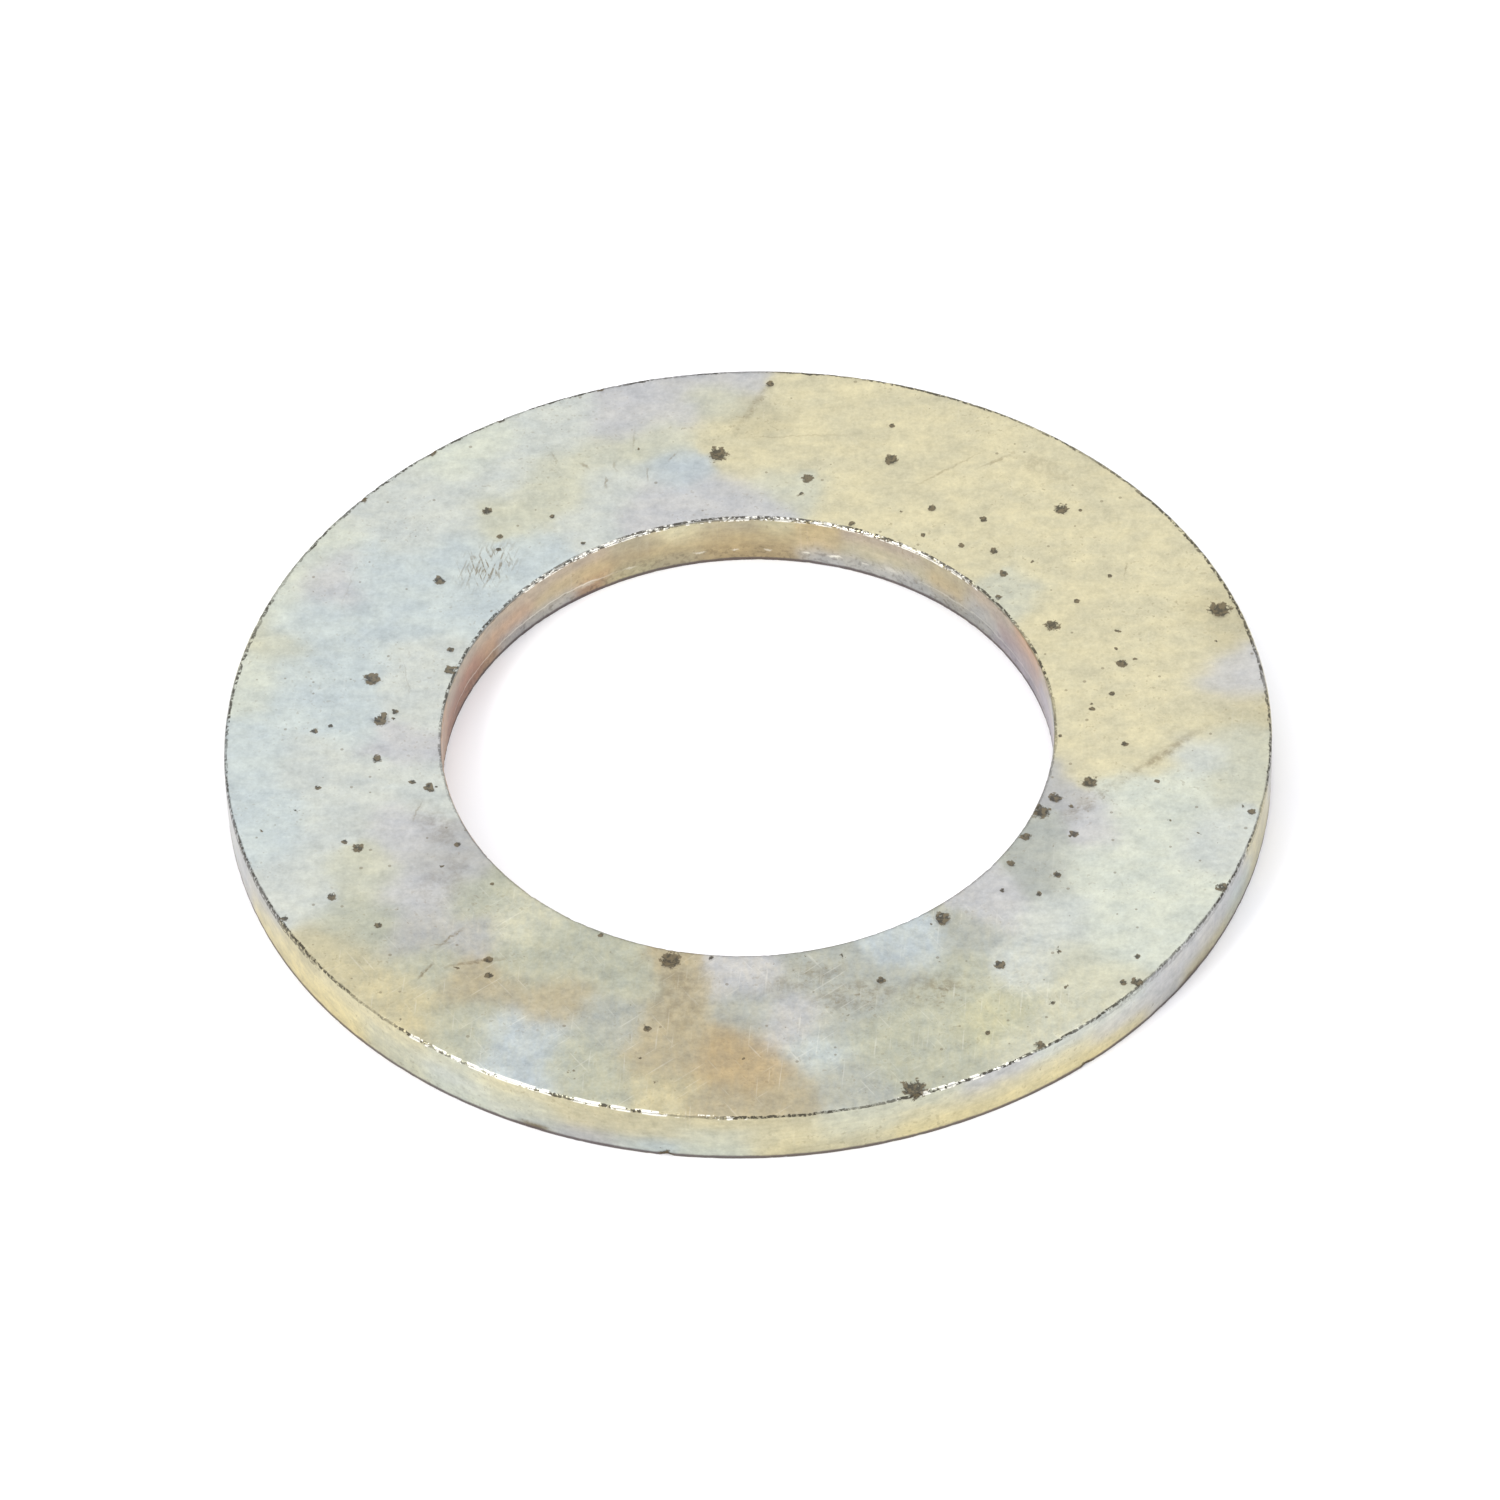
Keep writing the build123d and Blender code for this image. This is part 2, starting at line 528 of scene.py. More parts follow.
# %% Stains on the top face
# (degrees round, millimetres from the axis, colour)
top_stains = [
    (0, 10.8, STRAW), (0, 12.6, STRAW), (0, 14.2, STRAW), (2, 16.1, SAND), (6, 16.2, LILAC),
    (12, 10.8, STRAW), (12, 12.8, STRAW), (14, 14.6, STRAW), (16, 16.1, SAND), (24, 11.6, STRAW),
    (25, 13.6, STRAW), (26, 15.7, STRAW), (35, 10.6, CREAM), (36, 12.5, STRAW), (36, 14.4, STRAW),
    (37, 15.9, STRAW), (48, 10.9, STRAW), (48, 13.0, STRAW), (48, 15.2, STRAW), (60, 11.0, STRAW),
    (60, 13.2, STRAW), (60, 15.4, STRAW), (72, 11.0, STRAW), (72, 13.0, STRAW), (73, 15.2, STRAW),
    (82, 11.2, CREAM), (82, 13.0, STRAW), (83, 15.2, STRAW), (88, 14.2, SAND), (89, 12.6, STRAW),
    (87, 10.4, LILAC), (96, 10.8, LILAC), (98, 12.1, BLUE), (93, 13.7, STRAW), (92, 15.2, CREAM),
    (91, 16.2, LILAC), (98, 15.3, LILAC), (100, 13.7, CREAM), (104, 14.8, LILAC), (105, 10.9, LILAC),
    (108, 13.6, CREAM), (110, 12.2, PALE), (112, 15.6, PALE), (116, 13.2, CREAM), (118, 11.0, PALE),
    (122, 14.4, PALE), (123, 15.9, MINT), (125, 12.6, CREAM), (130, 10.8, CYAN), (134, 14.0, PALE),
    (136, 15.8, PALE), (138, 12.2, CYAN), (145, 10.8, CYAN), (147, 13.6, CYAN), (150, 15.2, LILAC),
    (147, 16.4, MINT), (155, 16.4, MINT),
    (152, 12.0, CYAN), (157, 15.0, CYAN), (164, 16.4, CREAM), (162, 10.8, PALE), (163, 13.0, CYAN),
    (168, 16.3, MINT), (170, 14.6, CYAN), (172, 10.5, PALE), (174, 12.8, CYAN), (180, 11.0, LILAC),
    (181, 15.8, CYAN), (182, 13.8, PALE), (188, 12.2, PALE), (192, 10.6, PALE), (193, 15.6, CYAN),
    (195, 13.6, PALE), (200, 11.6, LILAC), (203, 15.8, PALE), (204, 13.4, CREAM), (208, 10.8, LAVENDER),
    (212, 12.4, LILAC), (213, 14.8, SAGE), (216, 16.2, SAND), (218, 13.4, LAVENDER), (218, 11.2, SAGE),
    (224, 12.4, LAVENDER), (224, 14.0, SAGE), (226, 15.8, SAND), (228, 10.8, CREAM), (230, 13.6, TAN),
    (234, 15.2, SAGE), (236, 12.0, SAGE), (240, 10.8, SAGE), (240, 13.0, TAN), (241, 14.8, BLUE),
    (243, 15.8, BLUE), (249, 15.0, SAGE), (250, 11.4, SAGE), (250, 13.2, SLATE), (252, 16.3, SAGE),
    (257, 10.6, TAN), (258, 12.2, TAN), (259, 14.0, TAN), (260, 15.6, SAND), (265, 15.8, TAN),
    (266, 14.4, ORANGE), (269, 12.0, SLATE), (268, 10.6, LILAC), (271, 14.8, ORANGE), (273, 16.1, TAN),
    (275, 12.6, LILAC), (278, 14.2, CYAN), (280, 15.4, SLATE), (281, 10.8, SLATE), (283, 12.8, SLATE),
    (286, 14.2, SAGE), (290, 15.8, SAGE), (291, 11.8, SLATE), (294, 13.4, SAGE), (297, 10.8, BLUE),
    (300, 12.2, SAGE), (301, 14.6, OAT), (303, 16.0, CREAM), (306, 11.2, SLATE), (309, 13.2, PALE),
    (313, 15.2, CREAM), (315, 10.8, LILAC), (318, 12.8, PALE), (322, 14.8, MINT), (324, 11.2, SLATE),
    (329, 12.4, MINT), (331, 15.2, MINT), (333, 10.4, SLATE), (338, 11.6, LILAC), (337, 13.6, MINT),
    (340, 15.8, PALE), (343, 10.2, LAVENDER), (344, 12.4, MINT), (347, 14.0, MINT), (348, 11.0, STRAW),
    (350, 15.6, CREAM), (354, 12.6, STRAW), (353.5, 14.4, PALE), (356, 16.1, CREAM),
]
print(f"{len(top_stains)} stains on the top face")

# %% Stains on the walls
# (degrees round, colours of the upper, middle and lower part of the wall)
rim_stains = [
    (186, LILAC, LILAC, PALE), (195, LAVENDER, LILAC, LILAC), (203, LAVENDER, STRAW, GOLD),
    (211, SAND, GOLD, GOLD), (219, STRAW, GOLD, GOLD), (227, STRAW, CREAM, CREAM),
    (235, CREAM, PALE, MINT), (243, STRAW, CREAM, PALE), (251, SAND, SAND, LILAC),
    (258, SAND, SAND, CYAN), (265, SAND, CREAM, MINT), (273, SAND, STRAW, STRAW),
    (281, CREAM, CREAM, STRAW), (289, CREAM, STRAW, GOLD), (297, LILAC, STRAW, GOLD),
    (305, PALE, STRAW, GOLD), (313, PALE, LILAC, GOLD), (321, LILAC, LILAC, LILAC),
    (329, LILAC, LILAC, SAND), (337, LILAC, CYAN, CREAM), (345, STRAW, STRAW, STRAW),
    (353, LAVENDER, LILAC, STRAW), (1, STRAW, STRAW, CREAM),
]
bore_stains = [
    (3, LAVENDER, VIOLET, VIOLET), (12, DUN, VIOLET, VIOLET), (21, COPPER, ROSE, VIOLET),
    (30, DUN, ROSE, VIOLET), (39, DUN, LAVENDER, LAVENDER), (48, TAN, BRASS, LAVENDER),
    (57, DUN, SAND, LILAC), (66, DUN, SAND, LILAC), (75, BRASS, BRASS, LILAC),
    (84, SAND, BRASS, ORANGE), (93, TAN, BRASS, ORANGE), (102, STRAW, BRASS, TAN),
    (111, TAN, ORANGE, SAND), (120, DUN, BRASS, COPPER), (129, DUN, BRASS, LILAC),
    (138, DUN, COPPER, LILAC), (147, DUN, COPPER, COPPER), (156, DUN, PINK, PINK),
    (165, DUN, PINK, PINK), (174, COPPER, COPPER, COPPER),
]
wall_heights = (1.6, 1.0, 0.4)    # of those three parts, in millimetres
print(f"{len(wall_heights) * len(rim_stains)} stains on the rim")
print(f"{len(wall_heights) * len(bore_stains)} stains on the wall of the bore")

# %% All the stains together
LIFT = 20      # keeps the stains of the faces away from those of the walls, in millimetres
STRETCH = 5    # makes a wall's height count as much as the way round it


def on_sheet(angle, radius, height, sheet):
    """A stain's place where stains are looked up: the faces lifted clear of the walls."""
    place = on_ring(angle, radius, height)
    place.z = STRETCH * place.z + LIFT * MM * sheet
    return place


stains = [(on_sheet(angle, radius, top, 1), colour) for angle, radius, colour in top_stains]
for wall, wall_stains in ((rim_radius, rim_stains), (bore_radius, bore_stains)):
    for angle, *colours in wall_stains:
        stains += [(on_sheet(angle, wall / MM, height, 0), colour)
                   for height, colour in zip(wall_heights, colours)]

# The bottom face, the rim towards +Y and the bore towards -Y get colours drawn by chance.
for angle in range(0, 360, 9):
    for radius in (10.8, 13.2, 15.6):
        spot = on_sheet(angle + chance.uniform(-4, 4), radius + chance.uniform(-0.8, 0.8), 0, -1)
        colour = chance.choice([STRAW, STRAW, CREAM, SAND, LILAC, PALE, BLUE, SAGE, TAN])
        stains.append((spot, colour))
for angle in range(9, 180, 9):
    spot = on_sheet(angle, rim_radius / MM, chance.uniform(0.4, 1.5), 0)
    stains.append((spot, chance.choice([STRAW, CREAM, PALE, SAND, CREAM])))
for angle in range(186, 360, 9):
    spot = on_sheet(angle, bore_radius / MM, chance.uniform(0.4, 1.5), 0)
    stains.append((spot, chance.choice([BRASS, SAND, DUN, LAVENDER, COPPER])))
stain_cloud = point_cloud("stains", [spot for spot, colour in stains], {
    "tint": [colour for spot, colour in stains]})
print(f"{len(stains)} stains in all")

# %% [markdown]
# The second tree weathers the ring. It sinks the pits, nicks the rolled edges where washers
# knocked together in the barrel, tears fine grooves into the lower part of both walls, and lets
# the faces wander by a few microns, as rolled sheet does. Everything moves inwards, so the washer
# never outgrows its CAD box. What it worked out is also stored on the points for the material to
# read: the tint, how deep in a pit the point lies, whether its wall is torn, and its rise, which is
# 1 where the surface faces straight up, 0 on a wall and -1 underneath.

# %% A tree that can look up the pits and the stains
wear = {
    "Pits": pit_cloud,
    "Stains": stain_cloud,
    "Tear height": tear_height,
    "Nick depth": 0.035 * MM,
    "Groove depth": 0.020 * MM,
    "Waviness": 0.010 * MM,
    "Stain wander": 1.1 * MM,
    "Material": yellow_zinc,
}
weather, wire = new_tree("weather", wear)
place = weather.node("GeometryNodeInputPosition", {}, {})
normal = weather.node("GeometryNodeInputNormal", {}, {})
x, y, z = place.parts()
rise = normal.parts()[2]


def nearest(cloud, where):
    """Gives a function that reads a named value of the cloud's point nearest to where.

    Without a name the function reads where that point is.
    """
    points = weather.node("GeometryNodeObjectInfo", {}, {"Object": wire[cloud]}, "Geometry")
    found = weather.node("GeometryNodeSampleNearest", {"domain": "POINT"},
                         {"Geometry": points, "Sample Position": where})

    def read(kind, label=None):
        value = place
        if label:
            value = weather.node(
                "GeometryNodeInputNamedAttribute", {"data_type": kind}, {"Name": label})
        sockets = {"Geometry": points, "Value": value, "Index": found}
        return weather.node("GeometryNodeSampleIndex", {"data_type": kind}, sockets)

    return read


def push(grain, detail, roughness=0.5):
    """A noise vector from about -0.5 to 0.5 on each axis, to push points about with."""
    return weather.noise(place, grain, detail, roughness).output("Color") - (0.5, 0.5, 0.5)


# %% How far each point sinks
pit = nearest("Pits", place)
pit_reach = pit("FLOAT", "reach")
ragged_place = place + push(0.16 * MM, 3) * pit_reach
pit_distance = ragged_place.does("DISTANCE", pit("FLOAT_VECTOR")) / pit_reach
pit_mask = pit_distance.ramp(1.7, 0.3)
pit_sink = pit_distance.ramp(1.0, 0.2) * pit("FLOAT", "depth")

flatness = rise.does("ABSOLUTE")
edge = 4 * flatness * (1 - flatness)
below_tear = z.ramp(wire["Tear height"] + 0.06 * MM, wire["Tear height"] - 0.06 * MM)
torn = below_tear * (1 - flatness)
nicks = weather.noise(place, 0.22 * MM, 2).ramp(0.5, 0.75) * edge * wire["Nick depth"]
upright_lumps = weather.noise(weather.vector(x, y, z * 0.15), 0.12 * MM, 2)
grooves = upright_lumps * torn * wire["Groove depth"]
waves = weather.noise(place, 3.0 * MM, 1) * wire["Waviness"]
sink = pit_sink + nicks + grooves + waves

# %% The tint of each point
sheet = rise.ramp(0.6, 0.8) - rise.ramp(-0.6, -0.8)
unfolded = weather.vector(x, y, z * STRETCH + sheet * LIFT * MM)
drift = push(2.4 * MM, 4, 0.6) + push(0.5 * MM, 3, 0.7) * 0.5
tint = nearest("Stains", unfolded + drift * wire["Stain wander"] * 2)("FLOAT_VECTOR", "tint")


def blurred(value, times):
    """A colour averaged with its neighbours' a number of times."""
    sockets = {"Value": value, "Iterations": times}
    return weather.node("GeometryNodeBlurAttribute", {"data_type": "FLOAT_VECTOR"}, sockets)


tint = blurred(tint, 2) * 0.5 + blurred(tint, 20) * 0.5

# %% Store what the material reads, and move the points
stored_values = (("tint", "FLOAT_VECTOR", tint), ("pit", "FLOAT", pit_mask),
                 ("rise", "FLOAT", rise), ("torn", "FLOAT", torn))
worn = wire["Geometry"]
for label, kind, value in stored_values:
    worn = weather.node(
        "GeometryNodeStoreNamedAttribute", {"data_type": kind, "domain": "POINT"},
        {"Geometry": worn, "Name": label, "Value": value})
worn = weather.node("GeometryNodeSetPosition", {}, {"Geometry": worn, "Offset": normal * sink * -1})
finish_tree(weather, worn, wire["Material"])
grow(washer, weather, wear)
for cloud in (pit_cloud, stain_cloud):
    bpy.data.objects.remove(cloud)
triangles = sum(len(face.vertices) - 2 for face in washer.data.polygons)
print(f"{triangles} triangles")

# %% [markdown]
# A finish that is baked goes into one square texture, so how the surface is laid flat decides how
# sharp it stays. An automatic unwrap would cut a ring into curved pieces that waste half the
# square. The ring's own columns and rows are one long strip, 84 mm by 18 mm. Cut in two and
# stacked, it nearly fills the square.

# %% Fold the unrolled map into two strips
strips = 2
gap = 0.008
mesh = washer.data
layer = mesh.uv_layers["OFBake"]
unrolled = np.empty(2 * len(mesh.loops), np.float32)
layer.uv.foreach_get("vector", unrolled)
unrolled = unrolled.reshape(-1, 2)
sides = np.array([len(face.vertices) for face in mesh.polygons])
face_of_corner = np.repeat(np.arange(len(sides)), sides)
middle = np.bincount(face_of_corner, unrolled[:, 0]) / sides
strip = np.minimum(np.floor(middle * strips), strips - 1)[face_of_corner]
across = gap + (unrolled[:, 0] * strips - strip) * (1 - 2 * gap)
upwards = (strip + gap * strips + unrolled[:, 1] * (1 - 2 * gap * strips)) / strips
layer.uv.foreach_set("vector", np.column_stack((across, upwards)).astype(np.float32).ravel())
print(f"unrolled map from {across.min():.3f} to {across.max():.3f} across")
print(f"and from {upwards.min():.3f} to {upwards.max():.3f} upwards")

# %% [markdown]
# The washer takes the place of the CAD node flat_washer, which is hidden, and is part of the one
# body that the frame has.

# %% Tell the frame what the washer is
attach(washer, "root")
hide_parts("flat_washer")

# %% [markdown]
# ## The finish
#
# Zinc under chromate is a metal with a coloured film, so the shader is metallic and its base
# colour is the tint. The mesh gives that tint only to about a fifth of a millimetre. Everything
# finer is worked out here, from noise at the real size of what it stands for. The clouds are
# stretched a little along X, the way the sheet was rolled.

# %% Read the mesh and make the noises
yellow_zinc.use_nodes = True
yellow_zinc.node_tree.nodes.clear()
metal = Tree(yellow_zinc.node_tree)
place = metal.node("ShaderNodeTexCoord", {}, {}, "Object")
x, y, z = place.parts()


def stored(label, output="Fac"):
    """What the weathering tree stored on the points."""
    return metal.node("ShaderNodeAttribute", {"attribute_name": label}, {}, output)


tint = stored("tint", "Vector")
pit = stored("pit")
rise = stored("rise")
torn = stored("torn")
wall = 1 - rise.does("ABSOLUTE")
along_x = metal.vector(x * 0.6, y, z)
along_y = metal.vector(x, y * 0.4, z)
level = metal.vector(x, y, z * 4)

grain = metal.noise(place, 0.08 * MM, 2)             # the crystals of the zinc
mottle = metal.noise(place, 0.35 * MM, 5, 0.7)       # lumps in the film, and its small scuffs
cloud = metal.noise(along_x, 2.2 * MM, 5, 0.65)      # where the film dried thick or thin
bloom = metal.noise(along_x, 0.9 * MM, 5, 0.65)      # a bluish or a yellowish haze in it
chips = metal.noise(place, 0.15 * MM, 2)             # grit, and gaps in the scratches
streaks = metal.noise(along_y, 0.22 * MM, 4, 0.7)    # marks of wiping
burnish = metal.noise(level, 0.6 * MM, 4, 0.6)       # lumps that lie flat on the walls

# %% [markdown]
# The deeper scratches are few, and each one is somewhere. A scratch is a long thin oval: the
# Mapping node moves and turns the surface so that the oval becomes a ball of radius one, and how
# far a point is from the middle of that ball says whether it lies in the scratch. The points are
# pushed about by noise first, which bends the line and frays it. The same ovals, made wide and
# faint, are the smudges and the dark patches at the foot of the rim, and small ones are painted
# glints on the wall of the bore. The hairlines that handling leaves everywhere are too many
# to list, so they are noise again, drawn out along their heading.

# %% Ovals and hairlines
ruffled = place + (mottle.output("Color") - (0.5, 0.5, 0.5)) * (0.35 * MM)


def oval(angle, from_axis, up, heading, size):
    """1 inside an oval of this size, in millimetres along it, across it and up; 0 outside it."""
    ball = metal.node("ShaderNodeMapping", {"vector_type": "TEXTURE"}, {
        "Vector": ruffled, "Location": on_ring(angle, from_axis, up),
        "Rotation": (0, 0, math.radians(heading)), "Scale": Vector(size) / 2 * MM})
    return ball.does("LENGTH").ramp(1.1, 0.2)


def hairlines(heading, shortness=0.05, least=0.66):
    """Fine straight scratches of one heading, from 0 to 1. A higher least leaves fewer of them."""
    turn = math.radians(heading)
    along = x * math.cos(turn) + y * math.sin(turn)
    across = y * math.cos(turn) - x * math.sin(turn)
    drawn_out = metal.noise(metal.vector(along * shortness, across, 0), 0.10 * MM, 1)
    return drawn_out.ramp(least, least + 0.10)


def strongest(masks, most=0):
    """The strongest of these masks at each point, and at least the mask most."""
    for mask in masks:
        most = mask.does("MAXIMUM", most)
    return most


def on_top(marks):
    """Ovals on the top face, one after another."""
    for angle, from_axis, heading, long, wide, strength in marks:
        yield oval(angle, from_axis, top, heading, (long, wide, 1.0)) * strength


def on_wall(radius, marks):
    """Ovals that lie along a wall of this radius, one after another."""
    for angle, up, long, tall, strength in marks:
        yield oval(angle, radius / MM, up, angle + 90, (long, 1.0, tall)) * strength


hairs = hairlines(38).does("MAXIMUM", hairlines(-57)).does("MAXIMUM", hairlines(84))

# %% Scratches and smudges on the top face
# (degrees round, millimetres from the axis, heading in degrees, long, wide, how strong)
scratches = [
    (352.7, 13.1, 41, 4.2, 0.30, 0.16), (224, 14.3, 56, 1.1, 0.16, 0.75),
    (222, 12.8, 42, 1.5, 0.14, 0.65), (222, 13.2, 12, 0.9, 0.12, 0.45),
    (55, 14.7, 27, 1.7, 0.14, 0.40), (60, 13.5, 33, 3.4, 0.12, 0.35),
    (82, 13.6, 0, 5.0, 0.10, 0.22), (112, 13.4, 130, 0.6, 0.16, 0.45),
    (108, 13.0, 100, 0.7, 0.12, 0.35), (104, 14.0, 85, 1.4, 0.09, 0.30),
    (29, 14.1, 80, 1.0, 0.10, 0.40), (196, 11.0, 70, 1.4, 0.08, 0.35),
    (228, 13.0, 8, 2.6, 0.20, 0.60), (297, 12.9, -10, 0.9, 0.12, 0.45),
    (150, 14.6, 75, 2.6, 0.07, 0.22), (165, 11.2, 96, 2.2, 0.07, 0.28),
    (110.5, 12.4, 88, 0.8, 0.12, 0.50), (115, 14.2, 118, 0.7, 0.12, 0.40),
    (99.5, 12.9, 52, 0.7, 0.12, 0.45), (104, 12.3, 96, 0.8, 0.10, 0.45),
]

# The same numbers again, for dirt rubbed into the film
smudges = [
    (352.7, 13.1, 40, 4.8, 0.55, 0.36), (341.7, 11.3, 38, 3.4, 0.90, 0.34),
    (50, 15.2, -30, 3.8, 1.10, 0.15), (88, 14.9, 62, 3.0, 0.40, 0.30),
    (200, 10.6, 115, 3.0, 1.40, 0.24), (212, 11.5, 60, 3.4, 1.80, 0.20),
    (258, 11.6, 90, 4.0, 2.20, 0.26), (285, 12.0, 5, 3.6, 1.60, 0.40),
    (278, 10.9, 20, 3.6, 1.40, 0.28), (296, 12.8, 10, 3.0, 1.80, 0.40),
]

scratched = strongest(on_top(scratches))
scraped_patch = oval(136, 11.4, top, 46, (3.0, 2.2, 1.0))
short_scrapes = hairlines(72, 0.14, 0.54).does("MAXIMUM", hairlines(104, 0.18, 0.56))
scratched = scratched.does("MAXIMUM", scraped_patch * short_scrapes * 0.7)
scratched = scratched * (0.4 + 0.6 * chips.ramp(0.38, 0.52))
smudged = strongest(on_top(smudges)) * (0.35 + mottle.ramp(0.60, 0.38))

# %% Painted glints on the bore's wall, and dark patches at the rim's foot
# Painted glints on the wall of the bore: (degrees round, millimetres up, long, tall, how strong)
bore_wall_glints = [
    (98, 0.50, 0.5, 0.12, 0.5), (91, 0.52, 0.3, 0.10, 0.6), (85, 0.47, 0.4, 0.12, 0.5),
    (77.5, 0.50, 0.35, 0.14, 0.7), (72, 0.52, 0.7, 0.14, 0.8), (66, 0.50, 0.3, 0.12, 0.5),
    (112, 0.52, 0.6, 0.12, 0.4), (121, 0.55, 0.9, 0.25, 0.3), (60, 0.60, 1.0, 0.30, 0.3),
]

# The same numbers again, for dark patches at the foot of the rim
dark_foot_patches = [
    (245, 0.10, 1.6, 0.55, 0.9), (243, 0.05, 2.6, 0.22, 0.7), (326, 0.10, 2.8, 0.50, 0.7),
    (320, 0.05, 2.0, 0.24, 0.5), (337, 0.05, 2.0, 0.22, 0.3),
]
glinting = strongest(on_wall(bore_radius, bore_wall_glints))
scratched = strongest(on_wall(rim_radius, dark_foot_patches), scratched)
print(f"{len(scratches)} scratches and {len(smudges)} smudges")
print(f"{len(bore_wall_glints)} painted glints on the bore and {len(dark_foot_patches)} dark rubs on the walls")

# %% [markdown]
# The plating is thin where the punch rolled the edge over, and steel shows there as a dark,
# toothed line, which is also painted shade where the rounded edge catches no lamp. Where parts
# knocked together the same edge is rubbed bright, and there the bright spots are also painted
# glints, in the arcs where the lamps catch the edge. How far across the edge a point lies is one
# sum: its distance in from the wall less its distance down from the face, which is 0 at the
# corner, more on the face and less on the wall. Masks could be painted by hand, but this sum
# follows the edge exactly, all the way round.

# %% Places along and across the edges
radius = (x * x + y * y).does("SQRT")
across_rim = (rim_radius - radius) - (thickness - z)
across_bore = (radius - bore_radius) - (thickness - z)
upper_half = z.ramp(0.5 * thickness, 0.7 * thickness)
# The half away from the camera, where the painted shade of the edges lies differently
far_half = y.ramp(-4 * MM, 3 * MM)
wobble = (metal.noise(place, 0.5 * MM, 3) - 0.5) * (0.20 * MM) + (grain - 0.5) * (0.06 * MM)


def band(value, low, high, soft=0.025):
    """1 where value lies between low and high millimetres, with soft edges."""
    rising = value.ramp((low - soft) * MM, low * MM)
    return rising * value.ramp((high + soft) * MM, high * MM) * upper_half


def arc(start, end, fade=4):
    """1 between two angles round the washer, in degrees, fading out on both sides."""
    middle, half = math.radians((start + end) / 2), math.radians((end - start) / 2)
    toward = (x * math.cos(middle) + y * math.sin(middle)) / radius
    return toward.ramp(math.cos(half + math.radians(fade)), math.cos(half))


# %% The bright spots: knocked bare metal and painted glints
# Arcs where the edges are knocked bare and the lamps glint: the spots there are partly painted glints
rim_bare_glint_arcs = arc(238, 258, 12) + arc(288, 296) * 0.8
bore_bare_glint_arcs = arc(46, 84, 8) + arc(107, 130, 10) + arc(90, 96) * 0.6


def beads(glinting, size):
    """Bare spots and painted glints on an edge: few where the arc fades, almost joined in it."""
    knocks = metal.noise(place, size * MM, 3, 0.7) + 0.16 * (glinting - 1)
    return knocks.ramp(0.45, 0.49) * glinting.ramp(0, 0.15)


rim_beads, bore_beads = beads(rim_bare_glint_arcs, 0.42), beads(bore_bare_glint_arcs, 0.20)
# Bright metal along the edges in those arcs, partly a painted highlight
bare_and_glint_line = band(across_rim + wobble * 0.4, -0.12, 0.07) * rim_beads
bare_and_glint_line = bare_and_glint_line + band(across_bore + wobble * 0.4, -0.10, 0.08) * bore_beads

# %% The dark line
# It is a row of teeth that fades in stretches: steel where the plating is thin, and also
# painted shade where the rounded edge catches no lamp. Towards +Y, away from the camera, it lies
# further in on the rim and shows more in the bore, as painted shade of the far edges. Between 186
# and 210 degrees, and faintly between 312 and 356, it reaches down the rim's wall as painted
# shade, and between the bore's bright spots, which are partly painted glints, it doesn't fade.
teeth = metal.noise(place, 0.11 * MM, 3).ramp(0.38, 0.52)
stretches = metal.noise(place, 1.6 * MM, 2).ramp(0.30, 0.55)
dark_rim = band(across_rim + wobble - far_half * (0.11 * MM), -0.08, 0.03) * (1 - rim_beads)
dark_rim = dark_rim * (0.3 + 0.7 * stretches)
# Painted shade along two stretches of the rim, reaching down its wall
rim_edge_shade = arc(186, 210, 8) + arc(312, 356, 6) * 0.4
dark_rim = dark_rim.does("MAXIMUM", band(across_rim + wobble, -0.26, 0.03) * rim_edge_shade * 0.8)
dark_bore = band(across_bore + wobble * 0.5, 0.02, 0.10)
dark_bore = dark_bore * (0.2 + 0.8 * far_half) * (0.5 + 0.5 * stretches)
between_beads = bore_bare_glint_arcs * (1 - bore_beads)
dark_bore = dark_bore + band(across_bore + wobble * 0.4, -0.07, 0.05) * between_beads * 0.8
dark_line = (dark_rim + dark_bore).does("MINIMUM", 1) * teeth
# A painted contact shadow along the foot of both walls
foot_shadow = (z + wobble * 0.3).ramp(0.19 * MM, 0.10 * MM) * wall.ramp(0.1, 0.4)

# %% [markdown]
# Specks too small for a pit in the mesh are cells of a Voronoi pattern, and at most one cell in
# seven has a speck. The pits' masks come from the mesh, and fine noise makes their rims ragged.

# %% Specks, dust and the rims of the pits
speck_cells = metal.node(
    "ShaderNodeTexVoronoi", {}, {"Vector": place, "Scale": 1 / (0.30 * MM)}, "Distance")
speck_chance = speck_cells.output("Color").parts()[0]
speck_size = speck_chance.ramp(0.86, 1.0) * 0.22
specks_mask = (speck_size - speck_cells + grain * 0.06 - 0.03).ramp(0.0, 0.05) * (1 - 0.8 * wall)
dust = chips.ramp(0.60, 0.70) * cloud.ramp(0.42, 0.60)
fraying = (mottle - 0.5) * 0.9 + (chips - 0.5) * 1.2 + (grain - 0.5) * 0.8
ragged_pit = (pit + fraying).ramp(0.40, 0.68)

# %% [markdown]
# The film isn't equally bright: it is mottled, more so between 225 and 305 degrees, where it was
# handled most, and on the walls its lumps lie flat. The torn part of the wall is gritty, most of
# all in the bore. Where that wall begins to tear it has a ridge, which shows in two stretches
# as a pale line, partly burnish and partly a painted highlight. The tear wanders up and down
# there, and the wall is a little darker below it.

